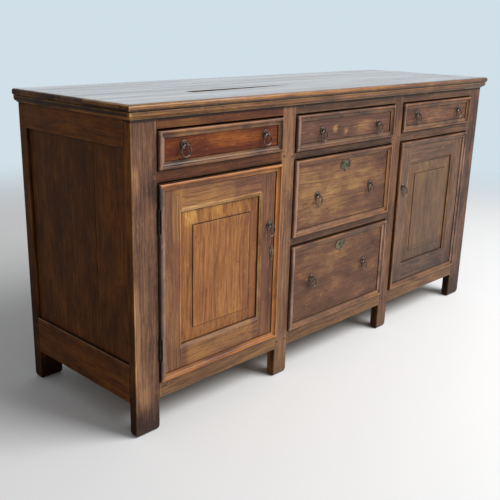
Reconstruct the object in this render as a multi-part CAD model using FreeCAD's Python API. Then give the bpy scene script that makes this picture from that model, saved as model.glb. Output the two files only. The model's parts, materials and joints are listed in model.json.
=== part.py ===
import FreeCAD, Part
import os

# Dresser base in joined oak, in millimetres.
# X runs along the front to the right, Y from front to back, Z up from the floor.
# The origin is on the floor under the middle of the whole piece.

# Overall sizes
overall_height = 840.0
carcase_width = 1614.0
carcase_depth = 488.0

# Top boards and the moulding under their edge
top_thickness = 18.0
top_overhang = 16.0
top_front_board = 181.0
top_nosing = 8.0
cornice_height = 18.0
cornice_depth = 12.0
cornice_fillet = 6.0
cornice_toe = 3.0
cornice_toe_depth = 3.5
cornice_swell = 2.6

# Front frame
frame_thickness = 28.0
post_width = 75.0
left_muntin_width = 55.0
right_muntin_width = 51.0
left_opening = 440.0
right_opening = 435.0
foot_height = 90.0
bottom_rail_height = 42.0
top_rail_height = 44.0
side_drawer_opening = 98.0
side_rail_height = 28.0
centre_rail_height = 20.0
bottom_drawer_opening = 268.0
deep_rail_height = 22.0

# Ends and back
back_post_width = 72.0
back_post_thickness = 34.0
end_rail_thickness = 24.0
end_top_rail_height = 84.0
end_bottom_rail_height = 105.0
end_panel_thickness = 10.0
end_panel_recess = 8.0
end_front_board = 132.0
back_rail_thickness = 22.0
back_rail_height = 42.0
back_board_thickness = 12.0
back_board_count = 7
board_gap = 0.6

# Inside
partition_thickness = 18.0
partition_front_board = 230.0
floor_thickness = 14.0
floor_board_count = 4
floor_door_gap = 1.0
runner_height = 20.0
runner_reach = 24.0
guide_width = 20.0
guide_height = 20.0

# Joints in the wood
groove_depth = 10.0
panel_slack = 1.0
tenon_length = 20.0
tenon_thickness = 8.0
tenon_shoulder = 4.0
grooved_shoulder = 12.0
peg_diameter = 8.0
peg_length = 22.0
peg_proud = 0.6
peg_fit = 0.05

# Doors and drawer fronts in their openings
gap_side = 2.0
gap_above = 4.0
gap_below = 1.5

# Raised moulding round every door and drawer front
lip_width = 18.0
lip_proud = 9.0
lip_round = 4.0
lip_crest = 3.0
lip_fillet = 3.0
lip_fillet_height = 2.5
lip_hollow = 2.0

# Doors
door_thickness = 22.0
stile_width = 76.0
door_rail_height = 80.0
sight_chamfer = 8.0
sight_chamfer_depth = 6.0
door_tenon_length = 40.0
panel_edge_thickness = 6.0
panel_edge_setback = 10.0
bevel_width = 40.0
bevel_rise = 5.0
field_step = 1.5

# Butt hinges
hinge_height = 60.0
hinge_inset = 60.0
hinge_leaf = 0.9
hinge_leaf_depth = 20.0
knuckle_radius = 3.0
hinge_pin_radius = 1.5
hinge_pin_clearance = 0.05
knuckle_gap = 0.3
knuckle_stand_off = 0.2
knuckle_notch_clearance = 0.6
end_knuckle_height = 18.0

# Drawers
front_thickness = 20.0
front_lap = 8.0
box_side_thickness = 12.0
box_back_thickness = 12.0
box_bottom_thickness = 8.0
box_bottom_raise = 8.0
box_groove = 5.0
box_side_drop = 6.0
box_back_drop = 8.0
box_back_gap = 6.0
running_clearance = 0.3

# Ring pulls: a ring in an eye on a round plate
ring_diameter = 34.0
ring_wire = 4.0
ring_clearance = 0.6
eye_wire = 2.6
eye_neck = 1.2
shank_diameter = 4.0
shank_fit = 0.05
eye_bite = 0.5
plate_diameter = 22.0
plate_thickness = 2.5
plate_edge_round = 1.2
clench_width = 16.0
clench_height = 4.0
clench_thickness = 2.5

# Places of the pulls: in from a drawer's left and right end and above its middle, and on the doors
left_drawer_left_inset = 81.0
left_drawer_right_inset = 67.0
left_drawer_pull_rise = 8.0
centre_drawer_left_inset = 117.5
centre_drawer_right_inset = 83.5
centre_drawer_pull_rise = 0.0
right_drawer_left_inset = 87.5
right_drawer_right_inset = 77.5
right_drawer_pull_rise = 8.0
middle_drawer_left_inset = 108.5
middle_drawer_right_inset = 105.5
middle_drawer_pull_rise = -2.0
bottom_drawer_left_inset = 100.5
bottom_drawer_right_inset = 114.5
bottom_drawer_pull_rise = 15.0
left_door_pull_inset = 40.0
left_door_pull_height = 346.0
right_door_pull_inset = 37.0
right_door_pull_height = 362.0

# Keyhole plates
plate_metal = 1.6
shield_width = 50.0
shield_height = 37.0
shield_drop = 5.0
shield_keyhole_drop = 12.0
oval_width = 16.0
oval_height = 44.0
oval_gap = 1.0
oval_centre_height = 264.0
keyhole_diameter = 5.0
keyhole_slot_width = 2.6
keyhole_slot_height = 8.0
keyhole_depth = 12.0

# Places that follow from the sizes
Vector = FreeCAD.Vector
half_width = carcase_width / 2
front_y = top_overhang - (carcase_depth + top_overhang) / 2
back_y = front_y + carcase_depth
frame_back_y = front_y + frame_thickness
back_frame_y = back_y - back_post_thickness
back_board_y = back_y - back_board_thickness
back_rail_y = back_board_y - back_rail_thickness
top_seam_y = front_y - top_overhang + top_front_board

top_underside = overall_height - top_thickness
top_rail_z = top_underside - top_rail_height
side_drawer_z = top_rail_z - side_drawer_opening
middle_rail_z = side_drawer_z - side_rail_height
centre_drawer_z = middle_rail_z + centre_rail_height
bottom_rail_top = foot_height + bottom_rail_height
deep_rail_z = bottom_rail_top + bottom_drawer_opening
deep_rail_top = deep_rail_z + deep_rail_height
floor_top = bottom_rail_top + floor_thickness

outer_x = half_width - post_width
back_post_x = half_width - back_post_width
left_bay = (-outer_x, left_opening - outer_x)
right_bay = (outer_x - right_opening, outer_x)
centre_bay = (left_bay[1] + left_muntin_width, right_bay[0] - right_muntin_width)
upright_spans = [(-half_width, left_bay[0]), (left_bay[1], centre_bay[0]),
                 (centre_bay[1], right_bay[0]), (right_bay[1], half_width)]
left_partition_x = (left_bay[1] + centre_bay[0]) / 2
right_partition_x = (centre_bay[1] + right_bay[0]) / 2
half_partition = partition_thickness / 2

end_panel_z = foot_height + end_bottom_rail_height
end_panel_top = top_underside - end_top_rail_height
end_seam_y = frame_back_y + end_front_board
drawer_back_y = back_board_y - box_back_gap

ring_radius = (ring_diameter - ring_wire) / 2
eye_radius = ring_wire / 2 + ring_clearance + eye_wire / 2
eye_stand_off = plate_thickness + eye_neck + eye_radius + eye_wire / 2


# Small helpers

def block(x0, x1, y0, y1, z0, z1):
    return Part.makeBox(x1 - x0, y1 - y0, z1 - z0, Vector(x0, y0, z0))


def rod(radius, length, start, direction):
    return Part.makeCylinder(radius, length, start, direction)


def carve(solid, tools):
    result = solid.cut(list(tools))
    return result.Solids[0] if len(result.Solids) == 1 else result


def join(solids):
    return solids[0].fuse(list(solids[1:])).removeSplitter().Solids[0]


def save(node, solids):
    shape = solids[0] if len(solids) == 1 else Part.makeCompound(list(solids))
    shape.exportStep(os.path.join("parts", node + ".step"))
    print(node, len(shape.Solids))


def rectangle(x0, x1, z0, z1, y):
    corners = [Vector(x0, y, z0), Vector(x1, y, z0), Vector(x1, y, z1), Vector(x0, y, z1)]
    return Part.makePolygon(corners + corners[:1])


def frustum(front, back):
    return Part.makeLoft([front, back], True, True)


def line(a, b):
    return Part.LineSegment(a, b).toShape()


def arc(a, middle, b):
    return Part.Arc(a, middle, b).toShape()


# Mouldings: a profile run along a line and mitred at its ends

def bowed_middle(a, b, bow):
    """Middle of an arc from a to b that swells to the left of that line by bow."""
    along = b - a
    side = Vector(-along.y, along.x, 0).normalize()
    return (a + b) * 0.5 + side * bow


def lip_profile():
    """Outer side, rounded crest, hollow and inner fillet of the raised edge."""
    foot = Vector(0, 0, 0)
    shoulder = Vector(0, lip_proud - lip_round, 0)
    crest = Vector(lip_round, lip_proud, 0)
    crest_end = Vector(lip_round + lip_crest, lip_proud, 0)
    hollow_end = Vector(lip_width - lip_fillet, lip_fillet_height, 0)
    fillet = Vector(lip_width, lip_fillet_height, 0)
    inner = Vector(lip_width, 0, 0)
    round_bow = lip_round * (1 - 0.5 ** 0.5)
    return [
        (foot, None, shoulder),
        (shoulder, bowed_middle(shoulder, crest, round_bow), crest),
        (crest, None, crest_end),
        (crest_end, bowed_middle(crest_end, hollow_end, -lip_hollow), hollow_end),
        (hollow_end, None, fillet),
        (fillet, None, inner),
        (inner, None, foot),
    ]


def cornice_profile():
    """Fillet under the top, swelling ovolo and small toe against the frame."""
    corner = Vector(0, 0, 0)
    edge = Vector(cornice_depth, 0, 0)
    fillet_end = Vector(cornice_depth, cornice_fillet, 0)
    toe = Vector(cornice_toe_depth, cornice_height - cornice_toe, 0)
    toe_end = Vector(cornice_toe_depth, cornice_height, 0)
    inner = Vector(0, cornice_height, 0)
    return [
        (corner, None, edge),
        (edge, None, fillet_end),
        (fillet_end, bowed_middle(fillet_end, toe, -cornice_swell), toe),
        (toe, None, toe_end),
        (toe_end, None, inner),
        (inner, None, corner),
    ]


def mitred_strip(profile, origin, along, across, lift, length, start_grow, end_grow):
    """A profile run for length; its far side grows by 1 (outer mitre), -1 (inner mitre) or 0."""
    def at(run, flat):
        return origin + along * run + across * flat.x + lift * flat.y

    width = max(edge[0].x for edge in profile)
    height = max(edge[0].y for edge in profile)
    edges = []
    for a, middle, b in profile:
        ends = [at(-width, a), at(-width, b)]
        edges.append(line(*ends) if middle is None else arc(ends[0], at(-width, middle), ends[1]))
    prism = Part.Face(Part.Wire(edges)).extrude(along * (length + 2 * width))
    near = Vector(0, 0, 0)
    far = Vector(width, 0, 0)
    plan = [at(0, near), at(length, near), at(length + end_grow * width, far), at(-start_grow * width, far)]
    wedge = Part.Face(Part.makePolygon(plan + plan[:1])).extrude(lift * height)
    return prism.common(wedge).Solids[0]


def edge_strips(x0, x1, z0, z1):
    """Bottom, top, left and right strips of the raised moulding on a front."""
    right = Vector(1, 0, 0)
    up = Vector(0, 0, 1)
    out = Vector(0, -1, 0)
    profile = lip_profile()
    wide = x1 - x0
    tall = z1 - z0
    return [
        mitred_strip(profile, Vector(x0, front_y, z0), right, up, out, wide, -1, -1),
        mitred_strip(profile, Vector(x0, front_y, z1), right, -up, out, wide, -1, -1),
        mitred_strip(profile, Vector(x0, front_y, z0), up, right, out, tall, -1, -1),
        mitred_strip(profile, Vector(x1, front_y, z0), up, -right, out, tall, -1, -1),
    ]


# Carcase

def front_rail_places():
    """Left, right, bottom and top of each front rail, with whether its pegs show."""
    places = []
    for bay in (left_bay, centre_bay, right_bay):
        places.append((*bay, foot_height, bottom_rail_top, True))
        places.append((*bay, top_rail_z, top_underside, False))
    for bay in (left_bay, right_bay):
        places.append((*bay, middle_rail_z, side_drawer_z, True))
    places.append((*centre_bay, middle_rail_z, centre_drawer_z, True))
    places.append((*centre_bay, deep_rail_z, deep_rail_top, True))
    return places


def cross_tenons(x0, x1, y, z0, z1):
    """Tenons at both ends of a rail that runs along X, centred on y."""
    half = tenon_thickness / 2
    z0 = z0 + tenon_shoulder
    z1 = z1 - tenon_shoulder
    return [
        block(x0 - tenon_length, x0, y - half, y + half, z0, z1),
        block(x1, x1 + tenon_length, y - half, y + half, z0, z1),
    ]


def end_tenons(side, z0, z1):
    """Tenons at both ends of an end rail, in the front and back posts."""
    near = half_width - end_rail_thickness / 2 - tenon_thickness / 2
    x0, x1 = sorted((side * near, side * (near + tenon_thickness)))
    z0 = z0 + grooved_shoulder
    z1 = z1 - grooved_shoulder
    return [
        block(x0, x1, frame_back_y - tenon_length, frame_back_y, z0, z1),
        block(x0, x1, back_frame_y, back_frame_y + tenon_length, z0, z1),
    ]


def end_panel_span(side):
    outer = half_width - end_panel_recess
    return sorted((side * outer, side * (outer - end_panel_thickness)))


def end_panel_groove(side):
    x0, x1 = end_panel_span(side)
    y0 = frame_back_y - groove_depth
    y1 = back_frame_y + groove_depth
    return block(x0, x1, y0, y1, end_panel_z - groove_depth, end_panel_top + groove_depth)


def end_panel_boards(side):
    x0, x1 = end_panel_span(side)
    y0 = frame_back_y - groove_depth + panel_slack
    y1 = back_frame_y + groove_depth - panel_slack
    z0 = end_panel_z - groove_depth
    z1 = end_panel_top + groove_depth - panel_slack
    return [
        block(x0, x1, y0, end_seam_y - board_gap / 2, z0, z1),
        block(x0, x1, end_seam_y + board_gap / 2, y1, z0, z1),
    ]


def front_peg(x, z, radius):
    return rod(radius, peg_length + peg_proud, Vector(x, front_y - peg_proud, z), Vector(0, 1, 0))


def end_peg(side, y, z, radius):
    start = Vector(side * (half_width + peg_proud), y, z)
    return rod(radius, peg_length + peg_proud, start, Vector(-side, 0, 0))


def peg_places():
    """Each peg as a function of its radius, so that its hole follows it."""
    places = []
    for x0, x1, z0, z1, pegged in front_rail_places():
        if pegged:
            z = (z0 + z1) / 2
            places.append(lambda r, x=x0 - tenon_length / 2, z=z: front_peg(x, z, r))
            places.append(lambda r, x=x1 + tenon_length / 2, z=z: front_peg(x, z, r))
    peg_edge = max(grooved_shoulder, cornice_height) + peg_diameter
    for side in (-1, 1):
        for z0, z1 in ((foot_height, end_panel_z), (end_panel_top, top_underside)):
            for z in (z0 + peg_edge, z1 - peg_edge):
                for y in (frame_back_y - tenon_length / 2, back_frame_y + tenon_length / 2):
                    places.append(lambda r, s=side, y=y, z=z: end_peg(s, y, z, r))
    return places


def make_frame():
    """Posts, muntins, rails, end panels and pegs, cut to fit each other."""
    pegs = [place(peg_diameter / 2) for place in peg_places()]
    peg_holes = [place(peg_diameter / 2 + peg_fit) for place in peg_places()]
    grooves = [end_panel_groove(side) for side in (-1, 1)]
    all_tenons = []

    front_rails = []
    frame_middle_y = (front_y + frame_back_y) / 2
    for x0, x1, z0, z1, pegged in front_rail_places():
        tenons = cross_tenons(x0, x1, frame_middle_y, z0, z1)
        rail = join([block(x0, x1, front_y, frame_back_y, z0, z1)] + tenons)
        front_rails.append(carve(rail, peg_holes))
        all_tenons += tenons

    end_rails = []
    for side in (-1, 1):
        x0, x1 = sorted((side * half_width, side * (half_width - end_rail_thickness)))
        for z0, z1 in ((foot_height, end_panel_z), (end_panel_top, top_underside)):
            tenons = end_tenons(side, z0, z1)
            rail = join([block(x0, x1, frame_back_y, back_frame_y, z0, z1)] + tenons)
            end_rails.append(carve(rail, peg_holes + grooves))
            all_tenons += tenons

    back_rails = []
    back_rail_middle_y = (back_rail_y + back_board_y) / 2
    for z0 in (foot_height, top_underside - back_rail_height):
        z1 = z0 + back_rail_height
        tenons = cross_tenons(-back_post_x, back_post_x, back_rail_middle_y, z0, z1)
        rail = block(-back_post_x, back_post_x, back_rail_y, back_board_y, z0, z1)
        back_rails.append(join([rail] + tenons))
        all_tenons += tenons

    uprights = []
    for x0, x1 in upright_spans:
        post = block(x0, x1, front_y, frame_back_y, 0, top_underside)
        uprights.append(carve(post, all_tenons + grooves + peg_holes))

    back_posts = []
    for x0, x1 in ((-half_width, -back_post_x), (back_post_x, half_width)):
        post = block(x0, x1, back_frame_y, back_y, 0, top_underside)
        back_posts.append(carve(post, all_tenons + grooves + peg_holes))

    save("front_uprights", uprights)
    save("front_rails", front_rails)
    save("end_rails", end_rails)
    save("end_panels", end_panel_boards(-1) + end_panel_boards(1))
    save("back_posts", back_posts)
    save("back_rails", back_rails)
    save("joint_pegs", pegs)


def nosed(board, faces_out):
    """Round the upper and lower arris of every edge that faces_out accepts."""
    radius = min(top_nosing, 0.45 * top_thickness)
    edges = [e for e in board.Edges if faces_out(e.BoundBox)]
    return board.makeFillet(radius, edges)


def make_top():
    reach = half_width + top_overhang
    near = front_y - top_overhang
    front_board = block(-reach, reach, near, top_seam_y - board_gap / 2, top_underside, overall_height)
    back_board = block(-reach, reach, top_seam_y + board_gap / 2, back_y, top_underside, overall_height)

    def on_end(box):
        return box.XLength < 1 and box.ZLength < 1 and abs(box.XMin) > half_width

    def on_front(box):
        return box.YLength < 1 and box.ZLength < 1 and box.YMin < front_y

    save("top_board_front", [nosed(front_board, lambda box: on_end(box) or on_front(box))])
    save("top_board_back", [nosed(back_board, on_end)])

    profile = cornice_profile()
    left = Vector(-half_width, front_y, top_underside)
    right = Vector(half_width, front_y, top_underside)
    out = Vector(0, -1, 0)
    back = Vector(0, 1, 0)
    across = Vector(1, 0, 0)
    down = Vector(0, 0, -1)
    save("top_edge_moulding", [
        mitred_strip(profile, left, across, out, down, carcase_width, 1, 1),
        mitred_strip(profile, left, back, -across, down, carcase_depth, 1, 0),
        mitred_strip(profile, right, back, across, down, carcase_depth, 1, 0),
    ])


def row_of_boards(x0, x1, count):
    """Left and right of each of count equal boards with a small gap between them."""
    pitch = (x1 - x0 + board_gap) / count
    return [(x0 + i * pitch, x0 + (i + 1) * pitch - board_gap) for i in range(count)]


def make_back():
    boards = []
    for x0, x1 in row_of_boards(-back_post_x, back_post_x, back_board_count):
        boards.append(block(x0, x1, back_board_y, back_y, foot_height, top_underside))
    save("back_boards", boards)


def make_partitions():
    notches = []
    for z0 in (foot_height, top_underside - back_rail_height):
        notches.append(block(-back_post_x, back_post_x, back_rail_y, back_board_y, z0, z0 + back_rail_height))
    seam_y = frame_back_y + partition_front_board
    boards = []
    for centre in (left_partition_x, right_partition_x):
        x0 = centre - half_partition
        x1 = centre + half_partition
        boards.append(block(x0, x1, frame_back_y, seam_y - board_gap / 2, foot_height, top_underside))
        rear = block(x0, x1, seam_y + board_gap / 2, back_board_y, foot_height, top_underside)
        boards.append(carve(rear, notches))
    save("partitions", boards)


def make_floors():
    """Boards from front to back on the bottom rails, notched round the posts; they stop the doors."""
    posts = [block(x0, x1, front_y, frame_back_y, 0, top_underside) for x0, x1 in upright_spans]
    for x0, x1 in ((-half_width, -back_post_x), (back_post_x, half_width)):
        posts.append(block(x0, x1, back_frame_y, back_y, 0, top_underside))
    near = front_y + door_thickness + floor_door_gap
    end_x = half_width - end_rail_thickness
    boards = []
    left_floor = (-end_x, left_partition_x - half_partition)
    right_floor = (right_partition_x + half_partition, end_x)
    for left, right in (left_floor, right_floor):
        for x0, x1 in row_of_boards(left, right, floor_board_count):
            board = block(x0, x1, near, back_board_y, bottom_rail_top, floor_top)
            boards.append(carve(board, posts))
    save("floor_boards", boards)


def make_runners():
    """Under and beside each drawer: runners and guides, and kickers over the top row."""
    left_edges = [(left_bay[0], 1, left_bay[0] - guide_width),
                  (left_bay[1], -1, left_partition_x - half_partition)]
    centre_edges = [(centre_bay[0], 1, left_partition_x + half_partition),
                    (centre_bay[1], -1, right_partition_x - half_partition)]
    right_edges = [(right_bay[0], 1, right_partition_x + half_partition),
                   (right_bay[1], -1, right_bay[1] + guide_width)]
    rows = [(side_drawer_z, left_edges + right_edges, True), (centre_drawer_z, centre_edges, True),
            (deep_rail_top, centre_edges, False), (bottom_rail_top, centre_edges, False)]
    strips = []
    for z, edges, top_row in rows:
        for edge, inward, limit in edges:
            guide = sorted((edge, limit))
            runner = sorted((edge + inward * runner_reach, limit))
            strips.append(block(*runner, frame_back_y, back_frame_y, z - runner_height, z))
            strips.append(block(*guide, frame_back_y, back_frame_y, z, z + guide_height))
            if top_row:
                kicker_top = top_rail_z + runner_height
                strips.append(block(*runner, frame_back_y, back_frame_y, top_rail_z, kicker_top))
    save("drawer_runners", strips)


# Ring pulls and keyhole plates

def eye_plate(x, z, wood_thickness):
    """Round plate on the face, and an eye whose shank is clenched behind the wood."""
    face = Vector(x, front_y, z)
    inward = Vector(0, 1, 0)
    plate = rod(plate_diameter / 2, plate_thickness, face - inward * plate_thickness, inward)
    rims = [e for e in plate.Edges if e.BoundBox.YMax < front_y - plate_thickness / 2]
    plate = plate.makeFillet(min(plate_edge_round, 0.9 * plate_thickness), rims)
    plate = carve(plate, [shank_hole(x, z, wood_thickness)])
    centre = face - inward * eye_stand_off
    loop = Part.makeTorus(eye_radius, eye_wire / 2, centre, Vector(1, 0, 0))
    neck_start = ring_wire / 2 + ring_clearance + eye_bite
    shank_length = eye_stand_off - neck_start + wood_thickness + clench_thickness
    shank = rod(shank_diameter / 2, shank_length, centre + inward * neck_start, inward)
    clench = block(x - clench_width / 2, x + clench_width / 2, front_y + wood_thickness,
                   front_y + wood_thickness + clench_thickness, z - clench_height / 2, z + clench_height / 2)
    return [plate, join([loop, shank, clench])]


def shank_hole(x, z, wood_thickness):
    start = Vector(x, front_y - plate_thickness, z)
    return rod(shank_diameter / 2 + shank_fit, plate_thickness + wood_thickness, start, Vector(0, 1, 0))


def hanging_ring(x, z):
    centre = Vector(x, front_y - eye_stand_off, z - ring_radius)
    return Part.makeTorus(ring_radius, ring_wire / 2, centre, Vector(0, 1, 0))


def keyhole(x, z):
    """Round hole with a slot below it, through the plate and into the wood."""
    start = Vector(x, front_y - plate_metal, z)
    depth = plate_metal + keyhole_depth
    slot = block(x - keyhole_slot_width / 2, x + keyhole_slot_width / 2, start.y, start.y + depth,
                 z - keyhole_slot_height, z)
    return join([rod(keyhole_diameter / 2, depth, start, Vector(0, 1, 0)), slot])


def shield_plate(x, top):
    """Two-lobed shield that narrows to a point, with a keyhole."""
    half = shield_width / 2
    right_side = [(0, 0.10), (0.5, 0), (0.92, 0.2), (1.0, 0.48), (0.54, 0.69), (0.22, 0.8), (0, 1)]
    edges = []
    for side in (1, -1):
        points = [Vector(x + side * half * u, front_y, top - shield_height * v) for u, v in right_side]
        edges += [arc(points[i], points[i + 1], points[i + 2]) for i in (0, 2, 4)]
    outline = Part.Face(Part.Wire(Part.__sortEdges__(edges)))
    plate = outline.extrude(Vector(0, -plate_metal, 0))
    return carve(plate, [keyhole(x, top - shield_keyhole_drop)])


def oval_plate(x, z):
    ellipse = Part.Ellipse(Vector(0, 0, 0), oval_height / 2, oval_width / 2).toShape()
    outline = Part.Face(Part.Wire([ellipse]))
    outline.rotate(Vector(0, 0, 0), Vector(0, 0, 1), 90)
    outline.rotate(Vector(0, 0, 0), Vector(1, 0, 0), 90)
    outline.translate(Vector(x, front_y, z))
    plate = outline.extrude(Vector(0, -plate_metal, 0))
    return carve(plate, [keyhole(x, z + keyhole_slot_height / 2)])


# Drawers

def make_drawer(name, bay, z0, z1, left_inset, right_inset, rise, locked):
    x0 = bay[0] + gap_side
    x1 = bay[1] - gap_side
    front_z0 = z0 + gap_below
    front_z1 = z1 - gap_above
    pull_z = (front_z0 + front_z1) / 2 + rise
    centre = (x0 + x1) / 2
    pull_xs = {"left": x0 + left_inset, "right": x1 - right_inset}
    box_z0 = z0 + running_clearance
    box_z1 = z1 - box_side_drop
    bottom_z0 = box_z0 + box_bottom_raise
    bottom_z1 = bottom_z0 + box_bottom_thickness
    side_y = front_y + front_lap
    inner0 = x0 + box_side_thickness
    inner1 = x1 - box_side_thickness

    bottom = block(inner0 - box_groove, inner1 + box_groove, front_y + front_thickness - box_groove,
                   drawer_back_y, bottom_z0, bottom_z1)
    sides = [block(x0, inner0, side_y, drawer_back_y, box_z0, box_z1),
             block(inner1, x1, side_y, drawer_back_y, box_z0, box_z1)]
    back = block(inner0, inner1, drawer_back_y - box_back_thickness, drawer_back_y,
                 bottom_z1, box_z1 - box_back_drop)
    save(name + "_box", [carve(side, [bottom]) for side in sides] + [back, bottom])

    laps = [block(x0, inner0, side_y, front_y + front_thickness, front_z0, front_z1),
            block(inner1, x1, side_y, front_y + front_thickness, front_z0, front_z1)]
    cuts = laps + [bottom] + [shank_hole(x, pull_z, front_thickness) for x in pull_xs.values()]
    shield_top = front_z1 - lip_width - shield_drop
    if locked:
        cuts.append(keyhole(centre, shield_top - shield_keyhole_drop))
        save(name + "_keyhole_plate", [shield_plate(centre, shield_top)])
    front = block(x0, x1, front_y, front_y + front_thickness, front_z0, front_z1)
    save(name + "_front", [carve(front, cuts)])
    save(name + "_edge_moulding", edge_strips(x0, x1, front_z0, front_z1))

    pulls = []
    for side, x in pull_xs.items():
        pulls += eye_plate(x, pull_z, front_thickness)
        save(name + "_ring_" + side, [hanging_ring(x, pull_z)])
    save(name + "_pulls", pulls)


# Doors

def hinge(edge_x, inward, z):
    """Fixed leaf on the post and moving leaf on the door, which carries the pin, at height z."""
    def span(a, b):
        return sorted((edge_x + inward * a, edge_x + inward * b))

    axis_x = edge_x + inward * gap_side / 2
    axis_y = front_y - knuckle_stand_off - knuckle_radius
    up = Vector(0, 0, 1)
    z1 = z + hinge_height
    leaf_y = front_y + knuckle_gap
    leaf_back = front_y + hinge_leaf_depth
    middle0 = z + end_knuckle_height
    middle1 = z1 - end_knuckle_height

    fixed = [block(*span(0, hinge_leaf), leaf_y, leaf_back, z, z1)]
    for low, high in ((z, middle0 - knuckle_gap), (middle1 + knuckle_gap, z1)):
        fixed.append(block(*span(0, hinge_leaf), axis_y, leaf_y, low, high))
        fixed.append(rod(knuckle_radius, high - low, Vector(axis_x, axis_y, low), up))
    bore = rod(hinge_pin_radius + hinge_pin_clearance, hinge_height, Vector(axis_x, axis_y, z), up)
    fixed_leaf = carve(join(fixed), [bore])

    door_side = span(gap_side - hinge_leaf, gap_side)
    moving = [block(*door_side, leaf_y, leaf_back, z, z1)]
    moving.append(block(*door_side, axis_y, leaf_y, middle0, middle1))
    moving.append(rod(knuckle_radius, middle1 - middle0, Vector(axis_x, axis_y, middle0), up))
    moving.append(rod(hinge_pin_radius, hinge_height, Vector(axis_x, axis_y, z), up))
    return fixed_leaf, join(moving)


def knuckle_notch(edge_x, inward, z):
    """Room for a knuckle in the outer side of the door's moulding."""
    reach = gap_side / 2 + knuckle_radius + knuckle_notch_clearance
    x0, x1 = sorted((edge_x, edge_x + inward * reach))
    low = z - knuckle_notch_clearance
    high = z + hinge_height + knuckle_notch_clearance
    return block(x0, x1, front_y - lip_proud, front_y, low, high)


def fielded_panel(sight):
    """Thin edge in the frame's groove, sloping border, and a flat field raised by a small step."""
    x0, x1, z0, z1 = sight
    grow = groove_depth - panel_slack
    edge_y = front_y + panel_edge_setback
    field_y = edge_y - bevel_rise
    field = (x0 + bevel_width, x1 - bevel_width, z0 + bevel_width, z1 - bevel_width)
    edge = block(x0 - grow, x1 + grow, edge_y, edge_y + panel_edge_thickness,
                 z0 - groove_depth, z1 + grow)
    slope = frustum(rectangle(x0 + panel_slack, x1 - panel_slack, z0 + panel_slack, z1 - panel_slack, edge_y),
                    rectangle(*field, field_y))
    raised = block(field[0], field[1], field_y - field_step, field_y, field[2], field[3])
    return join([edge, slope, raised])


def make_door(name, bay, hinge_side, pull_inset, pull_height, locked):
    """hinge_side is -1 for a door hung on its left and 1 for one hung on its right."""
    x0 = bay[0] + gap_side
    x1 = bay[1] - gap_side
    z0 = bottom_rail_top + gap_below
    z1 = middle_rail_z - gap_above
    back = front_y + door_thickness
    sight = (x0 + stile_width, x1 - stile_width, z0 + door_rail_height, z1 - door_rail_height)
    hinge_edge = bay[0] if hinge_side < 0 else bay[1]
    free_edge = x1 if hinge_side < 0 else x0
    pull_x = free_edge + hinge_side * pull_inset
    pull_z = z0 + pull_height

    groove_y = front_y + panel_edge_setback
    cuts = [block(sight[0] - groove_depth, sight[1] + groove_depth, groove_y, groove_y + panel_edge_thickness,
                  sight[2] - groove_depth, sight[3] + groove_depth)]
    wide = (sight[0] - sight_chamfer, sight[1] + sight_chamfer,
            sight[2] - sight_chamfer, sight[3] + sight_chamfer)
    cuts.append(frustum(rectangle(*wide, front_y), rectangle(*sight, front_y + sight_chamfer_depth)))
    cuts.append(shank_hole(pull_x, pull_z, door_thickness))
    if locked:
        oval_x = free_edge + hinge_side * (lip_width + oval_gap + oval_width / 2)
        oval_z = z0 + oval_centre_height
        cuts.append(keyhole(oval_x, oval_z + keyhole_slot_height / 2))
        save(name + "_keyhole_plate", [oval_plate(oval_x, oval_z)])

    rails = []
    tenons = []
    middle_y = front_y + panel_edge_setback + panel_edge_thickness / 2
    for low, high in ((z0, sight[2]), (sight[3], z1)):
        tenon = block(sight[0] - door_tenon_length, sight[1] + door_tenon_length,
                      middle_y - tenon_thickness / 2, middle_y + tenon_thickness / 2,
                      low + grooved_shoulder, high - grooved_shoulder)
        tenons.append(tenon)
        rails.append(carve(join([block(sight[0], sight[1], front_y, back, low, high), tenon]), cuts))
    stiles = [carve(block(a, b, front_y, back, z0, z1), cuts + tenons)
              for a, b in ((x0, sight[0]), (sight[1], x1))]
    save(name + "_frame", stiles + rails)
    save(name + "_panel", [fielded_panel(sight)])

    hinge_zs = (z0 + hinge_inset, z1 - hinge_inset - hinge_height)
    leaves = [hinge(hinge_edge, -hinge_side, z) for z in hinge_zs]
    notches = [knuckle_notch(hinge_edge, -hinge_side, z) for z in hinge_zs]
    save(name + "_edge_moulding", [carve(strip, notches) for strip in edge_strips(x0, x1, z0, z1)])
    save(name + "_hinge_leaves", [moving for fixed, moving in leaves])
    save(name + "_pull", eye_plate(pull_x, pull_z, door_thickness))
    save(name + "_ring", [hanging_ring(pull_x, pull_z)])
    return [fixed for fixed, moving in leaves]


def main():
    os.makedirs("parts", exist_ok=True)
    make_top()
    make_frame()
    make_back()
    make_partitions()
    make_floors()
    make_runners()
    fixed_leaves = make_door("left_door", left_bay, -1, left_door_pull_inset, left_door_pull_height, True)
    fixed_leaves += make_door("right_door", right_bay, 1, right_door_pull_inset, right_door_pull_height, False)
    save("post_hinge_leaves", fixed_leaves)
    make_drawer("left_drawer", left_bay, side_drawer_z, top_rail_z,
                left_drawer_left_inset, left_drawer_right_inset, left_drawer_pull_rise, False)
    make_drawer("centre_drawer", centre_bay, centre_drawer_z, top_rail_z,
                centre_drawer_left_inset, centre_drawer_right_inset, centre_drawer_pull_rise, False)
    make_drawer("right_drawer", right_bay, side_drawer_z, top_rail_z,
                right_drawer_left_inset, right_drawer_right_inset, right_drawer_pull_rise, False)
    make_drawer("middle_drawer", centre_bay, deep_rail_top, middle_rail_z,
                middle_drawer_left_inset, middle_drawer_right_inset, middle_drawer_pull_rise, True)
    make_drawer("bottom_drawer", centre_bay, bottom_rail_top, deep_rail_z,
                bottom_drawer_left_inset, bottom_drawer_right_inset, bottom_drawer_pull_rise, True)


main()
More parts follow.
